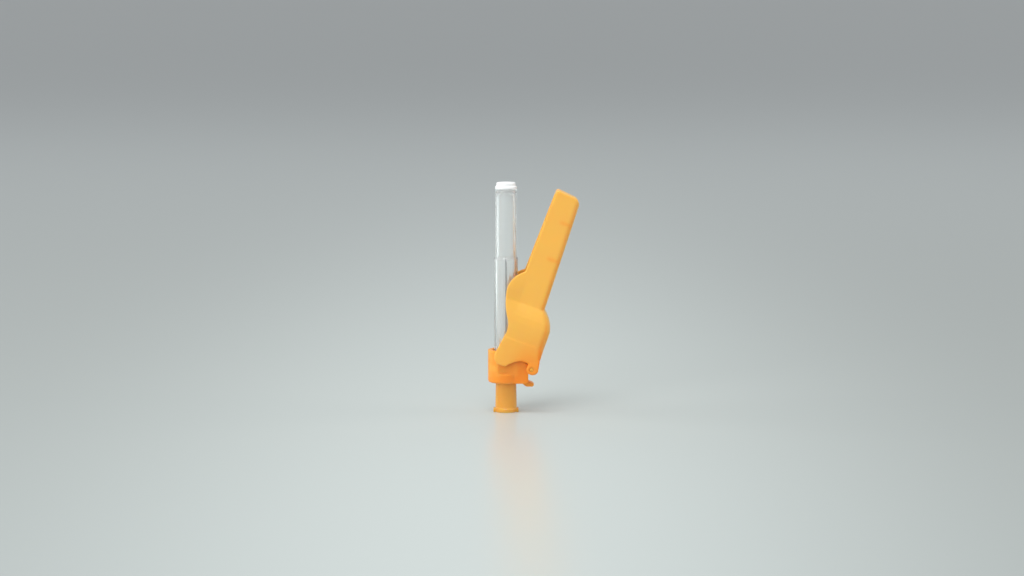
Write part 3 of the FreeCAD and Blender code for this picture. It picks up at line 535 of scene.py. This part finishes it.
def latheTree(name, sizes, corners, swell=None, materials=()):
    tree = bpy.data.node_groups.new(name, "GeometryNodeTree")
    tree.is_modifier = True
    for label, value in sizes.items():
        kind = "NodeSocketInt" if isinstance(value, int) else "NodeSocketFloat"
        tree.interface.new_socket(label, in_out="INPUT", socket_type=kind).default_value = value
    tree.interface.new_socket("Geometry", in_out="OUTPUT", socket_type="NodeSocketGeometry")
    source = place(tree, "NodeGroupInput").outputs
    # the closed outline, radius along X and height along Z, with rounded corners
    points = []
    rounds = []
    for radius, height, rounding in corners:
        point = place(tree, "ShaderNodeCombineXYZ")
        feed(tree, sumOf(tree, source, radius), point.inputs["X"])
        feed(tree, sumOf(tree, source, height), point.inputs["Z"])
        points.append(point.outputs[0])
        rounds.append(source[rounding] if rounding else 0.0)
    line = place(tree, "GeometryNodeCurvePrimitiveLine")
    outline = place(tree, "GeometryNodeResampleCurve")
    feed(tree, line.outputs[0], outline.inputs["Curve"])
    feed(tree, len(corners), outline.inputs["Count"])
    shaped = place(tree, "GeometryNodeSetPosition")
    feed(tree, outline.outputs[0], shaped.inputs["Geometry"])
    feed(tree, indexed(tree, "VECTOR", points), shaped.inputs["Position"])
    closed = place(tree, "GeometryNodeSetSplineCyclic")
    feed(tree, shaped.outputs[0], closed.inputs[0])
    feed(tree, True, closed.inputs["Cyclic"])
    rounded = place(tree, "GeometryNodeFilletCurve", mode="POLY")
    feed(tree, closed.outputs[0], rounded.inputs["Curve"])
    feed(tree, source["Round Steps"], rounded.inputs["Count"])
    feed(tree, indexed(tree, "FLOAT", rounds), rounded.inputs["Radius"])
    feed(tree, True, rounded.inputs["Limit Radius"])
    # a grid with a row for each point of the outline, wrapped round the axis
    count = place(tree, "GeometryNodeAttributeDomainSize", component="CURVE")
    feed(tree, rounded.outputs[0], count.inputs[0])
    pointCount = count.outputs["Point Count"]
    ringCount = calc(tree, "ADD", source["Steps Around"], 1.0)
    grid = place(tree, "GeometryNodeMeshGrid")
    feed(tree, calc(tree, "ADD", pointCount, 1.0), grid.inputs["Vertices X"])
    feed(tree, ringCount, grid.inputs["Vertices Y"])
    index = place(tree, "GeometryNodeInputIndex").outputs[0]
    row = calc(tree, "FLOOR", calc(tree, "DIVIDE", calc(tree, "ADD", index, 0.5), ringCount))
    column = calc(tree, "SUBTRACT", index, calc(tree, "MULTIPLY", row, ringCount))
    around = calc(tree, "DIVIDE", calc(tree, "MULTIPLY", column, -2 * math.pi), source["Steps Around"])
    sample = place(tree, "GeometryNodeSampleIndex", data_type="FLOAT_VECTOR", domain="POINT")
    feed(tree, rounded.outputs[0], sample.inputs["Geometry"])
    feed(tree, place(tree, "GeometryNodeInputPosition").outputs[0], sample.inputs["Value"])
    wrappedRow = calc(tree, "FLOORED_MODULO", calc(tree, "ADD", row, 0.25), pointCount)
    feed(tree, wrappedRow, sample.inputs["Index"])
    split = place(tree, "ShaderNodeSeparateXYZ")
    feed(tree, sample.outputs[0], split.inputs[0])
    radius, height = split.outputs["X"], split.outputs["Z"]
    if swell:
        radius = swell(tree, source, around, radius, height)
    wrapped = place(tree, "ShaderNodeCombineXYZ")
    feed(tree, calc(tree, "MULTIPLY", radius, calc(tree, "COSINE", around)), wrapped.inputs["X"])
    feed(tree, calc(tree, "MULTIPLY", radius, calc(tree, "SINE", around)), wrapped.inputs["Y"])
    feed(tree, height, wrapped.inputs["Z"])
    turned = place(tree, "GeometryNodeSetPosition")
    feed(tree, grid.outputs["Mesh"], turned.inputs["Geometry"])
    feed(tree, wrapped.outputs[0], turned.inputs["Position"])
    merged = place(tree, "GeometryNodeMergeByDistance")
    feed(tree, turned.outputs[0], merged.inputs["Geometry"])
    feed(tree, 0.0002 * mm, merged.inputs["Distance"])
    # an edge left alone on the axis goes
    bare = place(tree, "GeometryNodeInputMeshEdgeNeighbors")
    cleaned = place(tree, "GeometryNodeDeleteGeometry", domain="EDGE")
    feed(tree, merged.outputs[0], cleaned.inputs["Geometry"])
    feed(tree, calc(tree, "LESS_THAN", bare.outputs[0], 0.5), cleaned.inputs["Selection"])
    plain = place(tree, "GeometryNodeRealizeInstances")
    feed(tree, cleaned.outputs[0], plain.inputs[0])
    last = plain.outputs[0]
    for material, feet in materials:
        painted = place(tree, "GeometryNodeSetMaterial")
        feed(tree, last, painted.inputs["Geometry"])
        painted.inputs["Material"].default_value = material
        if feet:
            # only the faces above a height, which may be another one inside than outside
            outerFoot, innerFoot, skin = [sumOf(tree, source, words) for words in feet]
            middle = place(tree, "ShaderNodeSeparateXYZ")
            feed(tree, place(tree, "GeometryNodeInputPosition").outputs[0], middle.inputs[0])
            squares = [calc(tree, "POWER", middle.outputs[axis], 2.0) for axis in ("X", "Y")]
            away = calc(tree, "SQRT", calc(tree, "ADD", squares[0], squares[1]))
            outside = calc(tree, "GREATER_THAN", away, skin)
            rise = calc(tree, "MULTIPLY", outside, calc(tree, "SUBTRACT", outerFoot, innerFoot))
            above = calc(tree, "GREATER_THAN", middle.outputs["Z"], calc(tree, "ADD", innerFoot, rise))
            feed(tree, above, painted.inputs["Selection"])
        last = painted.outputs[0]
    feed(tree, last, place(tree, "NodeGroupOutput").inputs["Geometry"])
    return tree


def turnedPiece(name, tree, sizes):
    piece = linkMesh(name, bpy.data.meshes.new(name))
    modifier = piece.modifiers.new("turned", "NODES")
    modifier.node_group = tree
    for item in tree.interface.items_tree:
        if item.item_type == "SOCKET" and item.in_out == "INPUT":
            modifier[item.identifier] = sizes[item.name]
    return piece


# Hub: flange with two lugs, tapered socket, seats, nose.
hubSettings = {
    "Mouth Radius": 2.15 * mm, "Socket End Radius": 1.925 * mm, "Socket Depth": 7.5 * mm,
    "Flange Radius": 3.5 * mm, "Flange Height": 1.15 * mm,
    "Lug Reach": 3.9 * mm, "Lug Half Width": 1.7 * mm,
    "Tube Foot Radius": 3.35 * mm, "Tube Top Radius": 3.2 * mm, "Tube Height": 9.3 * mm,
    "Collar Seat Radius": 2.95 * mm, "Collar Seat Top": 11.9 * mm,
    "Cap Seat Radius": 2.75 * mm, "Cap Seat Top": 16.5 * mm,
    "Nose Foot Radius": 1.6 * mm, "Nose Foot": 18.5 * mm,
    "Nose Tip Radius": 1.2 * mm, "Nose Tip": 23.4 * mm,
    "Well Radius": 0.75 * mm, "Well Floor": 21.6 * mm, "Bore Radius": 0.2575 * mm,
    "Funnel Top": 9.5 * mm, "Funnel Radius": 1.1 * mm,
    "Edge Round": 0.12 * mm, "Fine Round": 0.06 * mm, "Wide Round": 0.5 * mm,
    "Support": 0.5 * mm, "Round Steps": 4, "Steps Around": 144,
}
hubCorners = [
    ("Mouth Radius", "0", "Edge Round"),
    ("Flange Radius", "0", "Edge Round"),
    ("Flange Radius", "Flange Height", "Edge Round"),
    ("Tube Foot Radius", "Flange Height", None),
    ("Tube Foot Radius", "Flange Height + Support", None),
    ("Tube Top Radius", "Tube Height - Support", None),
    ("Tube Top Radius", "Tube Height", "Fine Round"),
    ("Collar Seat Radius", "Tube Height", "Fine Round"),
    ("Collar Seat Radius", "Collar Seat Top", "Fine Round"),
    ("Cap Seat Radius", "Collar Seat Top", "Fine Round"),
    ("Cap Seat Radius", "Collar Seat Top + Support", None),
    ("Cap Seat Radius", "Cap Seat Top - Support", None),
    ("Cap Seat Radius", "Cap Seat Top", "Wide Round"),
    ("Nose Foot Radius", "Nose Foot", "Wide Round"),
    ("Nose Tip Radius", "Nose Tip", "Edge Round"),
    ("Well Radius", "Nose Tip", "Fine Round"),
    ("Well Radius", "Well Floor", "Fine Round"),
    ("Bore Radius", "Well Floor", None),
    ("Bore Radius", "Funnel Top", None),
    ("Funnel Radius", "Socket Depth", "Fine Round"),
    ("Socket End Radius", "Socket Depth", "Fine Round"),
    ("Socket End Radius", "Socket Depth - Support", None),
]


def hubLugs(tree, source, around, radius, height):
    # the flange's rim runs straight across at each lug
    across = calc(tree, "MAXIMUM", calc(tree, "ABSOLUTE", calc(tree, "COSINE", around)), 0.3)
    straight = calc(tree, "DIVIDE", source["Lug Reach"], across)
    side = calc(tree, "MULTIPLY", straight, calc(tree, "ABSOLUTE", calc(tree, "SINE", around)))
    within = calc(tree, "LESS_THAN", side, source["Lug Half Width"])
    onRim = calc(tree, "GREATER_THAN", radius, calc(tree, "ADD", source["Tube Foot Radius"], 0.01 * mm))
    reach = calc(tree, "SUBTRACT", straight, source["Flange Radius"])
    return calc(tree, "ADD", radius, calc(tree, "MULTIPLY", reach, calc(tree, "MULTIPLY", within, onRim)))


hubDepth = {
    "reach": 9.0 * mm, "clearWall": 1.6 * mm, "fade": 6.0 * mm, "spread": 2, "thinFaces": [],
    "paintedHighlightFrom": 30.0 * mm, "paintedHighlightLength": 1.0 * mm, "paintedHingeShade": 0.0, "paintedHingeShadeReach": 9.0 * mm,
}


def makeHub(settings):
    tree = latheTree("turnedHub", settings, hubCorners, hubLugs, [(hubPlastic, None)])
    piece = turnedPiece("hubTurned", tree, settings)
    piece = settle(piece, "hubMoulding", "hub", ["needle_hub"])
    paintDepthAndLight(piece, PlasticProbe(["needle_hub"], Matrix.Identity(4)), hubDepth)


makeHub(hubSettings)


# Cap: clear tube in two diameters with inner ribs, and a frosted closed end.
capSettings = {
    "Lower Radius": 3.7 * mm, "Upper Radius": 3.375 * mm,
    "Foot": 12.0 * mm, "Step": 48.4 * mm, "Top": 71.5 * mm,
    "Step Drop": 0.325 * mm, "Wall": 0.95 * mm, "Seat Radius": 2.8 * mm, "End Thickness": 2.2 * mm,
    "End Length": 1.35 * mm, "End Inset": 0.4 * mm, "Gate Radius": 0.9 * mm, "Gate Sink": 0.12 * mm,
    "Rib Foot": 21.5 * mm, "Rib Top": 46.0 * mm, "Rib Fade": 1.2 * mm, "Rib Depth": 0.12 * mm, "Ribs": 6,
    "Edge Round": 0.15 * mm, "Step Round": 0.3 * mm, "Rim Round": 0.45 * mm, "Dome Round": 1.5 * mm,
    "Dome Foot": 68.6 * mm, "Half Wall": 0.5 * mm, "Support": 0.6 * mm,
    "Round Steps": 6, "Steps Around": 128,
}
capCorners = [
    ("Seat Radius", "Foot", "Edge Round"),
    ("Lower Radius", "Foot", "Edge Round"),
    ("Lower Radius", "Foot + Support", None),
    ("Lower Radius", "Step - Step Drop - Support", None),
    ("Lower Radius", "Step - Step Drop", "Edge Round"),
    ("Upper Radius", "Step", "Edge Round"),
    ("Upper Radius", "Step + Support", None),
    ("Upper Radius", "Top - End Length - Support", None),
    ("Upper Radius", "Top - End Length", "Edge Round"),
    ("Upper Radius - End Inset", "Top - End Length + End Inset", "Edge Round"),
    ("Upper Radius - End Inset", "Top", "Rim Round"),
    ("Gate Radius", "Top", "Edge Round"),
    ("Gate Radius", "Top - Gate Sink", "Edge Round"),
    ("0", "Top - Gate Sink", None),
    ("0", "Top - End Thickness", None),
    ("Upper Radius - Wall", "Top - End Thickness", "Dome Round"),
    ("Upper Radius - Wall", "Top - End Thickness - End Length - Support", None),
    ("Upper Radius - Wall", "Step + Support", None),
    ("Upper Radius - Wall", "Step", "Step Round"),
    ("Seat Radius", "Step - Step Drop - Step Drop", "Step Round"),
    ("Seat Radius", "Rib Top + Rib Fade", None),
    ("Seat Radius", "Rib Top", None),
    ("Seat Radius", "Rib Foot", None),
    ("Seat Radius", "Rib Foot - Rib Fade", None),
    ("Seat Radius", "Foot + Support", None),
]


def capRibs(tree, source, around, radius, height):
    # low rounded ribs along the bore, between the rib's foot and its top
    wave = calc(tree, "COSINE", calc(tree, "MULTIPLY", around, source["Ribs"]))
    crest = calc(tree, "POWER", calc(tree, "MAXIMUM", wave, 0.0), 2.0)
    inBore = calc(tree, "LESS_THAN", radius, calc(tree, "ADD", source["Seat Radius"], 0.01 * mm))
    above = calc(tree, "GREATER_THAN", height, calc(tree, "SUBTRACT", source["Rib Foot"], 0.01 * mm))
    below = calc(tree, "LESS_THAN", height, calc(tree, "ADD", source["Rib Top"], 0.01 * mm))
    here = calc(tree, "MULTIPLY", inBore, calc(tree, "MULTIPLY", above, below))
    rise = calc(tree, "MULTIPLY", calc(tree, "MULTIPLY", crest, here), source["Rib Depth"])
    return calc(tree, "SUBTRACT", radius, rise)


def makeCap(settings):
    whiteFeet = ("Top - End Length - Half Wall", "Dome Foot", "Upper Radius - Half Wall")
    materials = [(clearPlastic, None), (frostedEnd, whiteFeet)]
    tree = latheTree("turnedCap", settings, capCorners, capRibs, materials)
    settle(turnedPiece("capTurned", tree, settings), "capMoulding", "cap", ["needle_cap"])


makeCap(capSettings)


# Adhesive bead in the nose's well, climbing the cannula.
beadSettings = {
    "Cannula Radius": 0.2575 * mm, "Well Radius": 0.75 * mm, "Well Floor": 21.6 * mm, "Nose Tip": 23.4 * mm,
    "Bead Top": 23.9 * mm, "Climb Radius": 0.38 * mm, "Soft": 0.25 * mm, "Fine": 0.03 * mm,
    "Round Steps": 6, "Steps Around": 64,
}
beadCorners = [
    ("Cannula Radius", "Well Floor", None),
    ("Well Radius", "Well Floor", "Fine"),
    ("Well Radius", "Nose Tip", "Fine"),
    ("Climb Radius", "Nose Tip + Soft", "Soft"),
    ("Climb Radius", "Bead Top", "Fine"),
    ("Cannula Radius", "Bead Top", None),
]


def makeBead(settings):
    tree = latheTree("turnedBead", settings, beadCorners, None, [(curedResin, None)])
    settle(turnedPiece("beadTurned", tree, settings), "adhesiveBead", "hub", ["adhesive"])


makeBead(beadSettings)


# Cannula: a thin tube whose end is ground to a long bevel with two lancet facets.
cannulaSettings = {
    "radius": 0.2575 * mm, "bore": 0.13 * mm, "foot": 9.2 * mm, "point": 48.8 * mm,
    "bevel": 12.0, "lancet": 21.0, "lancetTurn": 34.0, "steps": 48, "rings": 6,
}


def groundHeight(spot, settings):
    # height of the ground end above a point of the tube's section
    x, y = spot
    radius = settings["radius"]
    slope = math.tan(math.radians(settings["bevel"]))
    height = settings["point"] - (x + radius) / slope
    steep = math.tan(math.radians(settings["lancet"]))
    for side in (-1, 1):
        turn = math.radians(settings["lancetTurn"]) * side
        away = x * math.cos(turn) + y * math.sin(turn)
        height = min(height, settings["point"] - (away + radius) / steep)
    return height


def makeCannula(settings):
    work = bmesh.new()
    radii = [settings["radius"], settings["radius"]]
    radii += [settings["radius"] + (settings["bore"] - settings["radius"]) * step / settings["rings"]
              for step in range(1, settings["rings"] + 1)]
    radii.append(settings["bore"])
    loops = []
    for number, radius in enumerate(radii):
        onFoot = number in (0, len(radii) - 1)
        loop = []
        for step in range(settings["steps"]):
            angle = 2 * math.pi * step / settings["steps"]
            spot = (radius * math.cos(angle), radius * math.sin(angle))
            height = settings["foot"] if onFoot else groundHeight(spot, settings)
            loop.append(work.verts.new((*spot, height)))
        loops.append(loop)
    loops.append(loops[0])
    for lower, upper in zip(loops, loops[1:]):
        for step in range(settings["steps"]):
            after = (step + 1) % settings["steps"]
            work.faces.new((lower[step], lower[after], upper[after], upper[step]))
    bmesh.ops.recalc_face_normals(work, faces=work.faces)
    mesh = bpy.data.meshes.new("cannulaTube")
    work.to_mesh(mesh)
    work.free()
    mesh.materials.append(drawnSteel)
    piece = linkMesh("cannulaTube", mesh)
    mesh.shade_smooth()
    mesh.set_sharp_from_angle(angle=math.radians(40.0))
    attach(piece, "hub")
    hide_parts("cannula")
    print("cannulaTube made:", len(mesh.polygons), "faces")


makeCannula(cannulaSettings)


# Stage: a wide pale floor with a painted pool of light round the object, darkening away from it and with
# painted shade to each side, and a grey world behind it.
stageSettings = {
    "floorRadius": 9.0, "floorSides": 96,
    "near": (0.55, 0.607, 0.59, 1.0), "far": (0.43, 0.475, 0.485, 1.0),
    "fade": 1.0, "fadePower": 1.5,           # the painted pool of light's reach in metres from the object, and how sharply it turns
    "roughness": 0.28, "sheenLevel": 0.3,
    # painted side shade: share of the colour left to each side, where that starts, and how far behind the
    # object it fades
    "edge": 0.62, "edgeReach": 0.11, "edgeDepth": 0.6,
    "worldLight": 0.50, "worldColour": (0.97, 0.99, 1.0, 1.0), "backdrop": (0.29, 0.325, 0.34, 1.0),
    # painted glow: for gloss and clear plastic alone, the floor past the frame's sides is that level times
    # its colour, more than a lit floor gives
    "paintedGlowFrom": 0.13, "paintedGlowFull": 0.20, "paintedGlowTaper": 0.18, "paintedGlowLevel": 2.4,
}


def fallOff(tree, value, reach, power):
    # 1 where the value is 0, and less and less past the reach
    scaled = calc(tree, "POWER", calc(tree, "DIVIDE", value, reach), power)
    return calc(tree, "EXPONENT", calc(tree, "MULTIPLY", scaled, -1.0))


def floorColour(tree, settings):
    spot = mapped(tree)
    away = place(tree, "ShaderNodeVectorMath", operation="LENGTH")
    feed(tree, spot, away.inputs[0])
    split = place(tree, "ShaderNodeSeparateXYZ")
    feed(tree, spot, split.inputs[0])
    across, behind = split.outputs["X"], split.outputs["Y"]
    # painted pool of light: the colour goes from near to far with distance from the object, and painted
    # shade darkens each side
    kept = fallOff(tree, away.outputs["Value"], settings["fade"], settings["fadePower"])
    paint = blendColours(tree, kept, settings["far"], settings["near"])
    aside = calc(tree, "SUBTRACT", 1.0, fallOff(tree, across, settings["edgeReach"], 2.0))
    nearby = fallOff(tree, calc(tree, "MAXIMUM", behind, 0.0), settings["edgeDepth"], 2.0)
    level = ramp(tree, calc(tree, "MULTIPLY", aside, nearby), 0.0, 1.0, 1.0, settings["edge"], smooth=False)
    # painted glow past the frame's sides, seen by gloss and clear plastic alone
    tapered = calc(tree, "MULTIPLY", behind, settings["paintedGlowTaper"])
    outward = calc(tree, "SUBTRACT", calc(tree, "ABSOLUTE", across), tapered)
    paintedGlow = ramp(tree, outward, settings["paintedGlowFrom"], settings["paintedGlowFull"], 0.0, 1.0)
    rays = place(tree, "ShaderNodeLightPath").outputs
    clearly = calc(tree, "MAXIMUM", rays["Is Glossy Ray"], rays["Is Transmission Ray"])
    extra = calc(tree, "SUBTRACT", settings["paintedGlowLevel"], level)
    share = calc(tree, "MULTIPLY", paintedGlow, clearly)
    level = calc(tree, "ADD", level, calc(tree, "MULTIPLY", extra, share))
    shade = place(tree, "ShaderNodeVectorMath", operation="SCALE")
    feed(tree, paint, shade.inputs[0])
    feed(tree, level, shade.inputs["Scale"])
    return shade.outputs[0]


def makeFloor(settings):
    work = bmesh.new()
    bmesh.ops.create_circle(work, cap_ends=True, segments=settings["floorSides"],
                          radius=settings["floorRadius"])
    mesh = bpy.data.meshes.new("studioFloor")
    work.to_mesh(mesh)
    work.free()
    floor = linkMesh("studioFloor", mesh)
    material, tree, shader = newMaterial("floorPaint")
    feed(tree, floorColour(tree, settings), shader.inputs["Base Color"])
    shader.inputs["Roughness"].default_value = settings["roughness"]
    shader.inputs["Specular IOR Level"].default_value = settings["sheenLevel"]
    mesh.materials.append(material)


def makeWorld(settings):
    world = bpy.data.worlds.new("studioWorld")
    bpy.context.scene.world = world
    world.use_nodes = True
    tree = world.node_tree
    tree.nodes.clear()
    lightPath = place(tree, "ShaderNodeLightPath")
    # the camera sees the backdrop, and everything else the world's plain light
    grounds = []
    for colour, level in ((settings["worldColour"], settings["worldLight"]), (settings["backdrop"], 1.0)):
        ground = place(tree, "ShaderNodeBackground")
        ground.inputs["Color"].default_value = colour
        feed(tree, level, ground.inputs["Strength"])
        grounds.append(ground.outputs[0])
    chosen = place(tree, "ShaderNodeMixShader")
    feed(tree, lightPath.outputs["Is Camera Ray"], chosen.inputs["Fac"])
    feed(tree, grounds[0], chosen.inputs[1])
    feed(tree, grounds[1], chosen.inputs[2])
    feed(tree, chosen.outputs[0], place(tree, "ShaderNodeOutputWorld").inputs["Surface"])


lampSettings = {
    # name: place, aim, width, height, power, colour
    "leftPanel": ((-0.62, 0.04, 0.27), (0.0, 0.0, 0.04), 0.4, 0.5, 1.6, (1.0, 1.0, 1.0)),
    "rightPanel": ((0.66, 0.02, 0.27), (0.0, 0.0, 0.04), 0.4, 0.5, 1.1, (1.0, 0.985, 0.96)),
    "frontPanel": ((-0.40, -0.75, 0.36), (0.0, 0.0, 0.04), 0.5, 0.6, 3.1, (1.0, 1.0, 1.0)),
    "topPanel": ((-0.08, -0.25, 0.72), (0.0, 0.0, 0.04), 0.4, 0.3, 2.4, (1.0, 1.0, 1.0)),
    "backPanel": ((0.0, 0.9, 0.9), (0.0, 0.7, 0.0), 1.6, 0.6, 2.4, (1.0, 1.0, 1.0)),
}


def makeLamps(settings):
    for name, (spot, aim, width, height, power, colour) in settings.items():
        data = bpy.data.lights.new(name, "AREA")
        data.shape = "RECTANGLE"
        data.size = width
        data.size_y = height
        data.energy = power
        data.color = colour
        lamp = bpy.data.objects.new(name, data)
        bpy.context.scene.collection.objects.link(lamp)
        lamp.location = spot
        lamp.rotation_mode = "QUATERNION"
        lamp.rotation_quaternion = (Vector(aim) - Vector(spot)).to_track_quat("-Z", "Y")
        lamp.visible_camera = False
        lamp.visible_glossy = name == "topPanel"        # the others would mirror in the floor from the side


makeFloor(stageSettings)
makeWorld(stageSettings)
makeLamps(lampSettings)
print("stage and lamps placed")
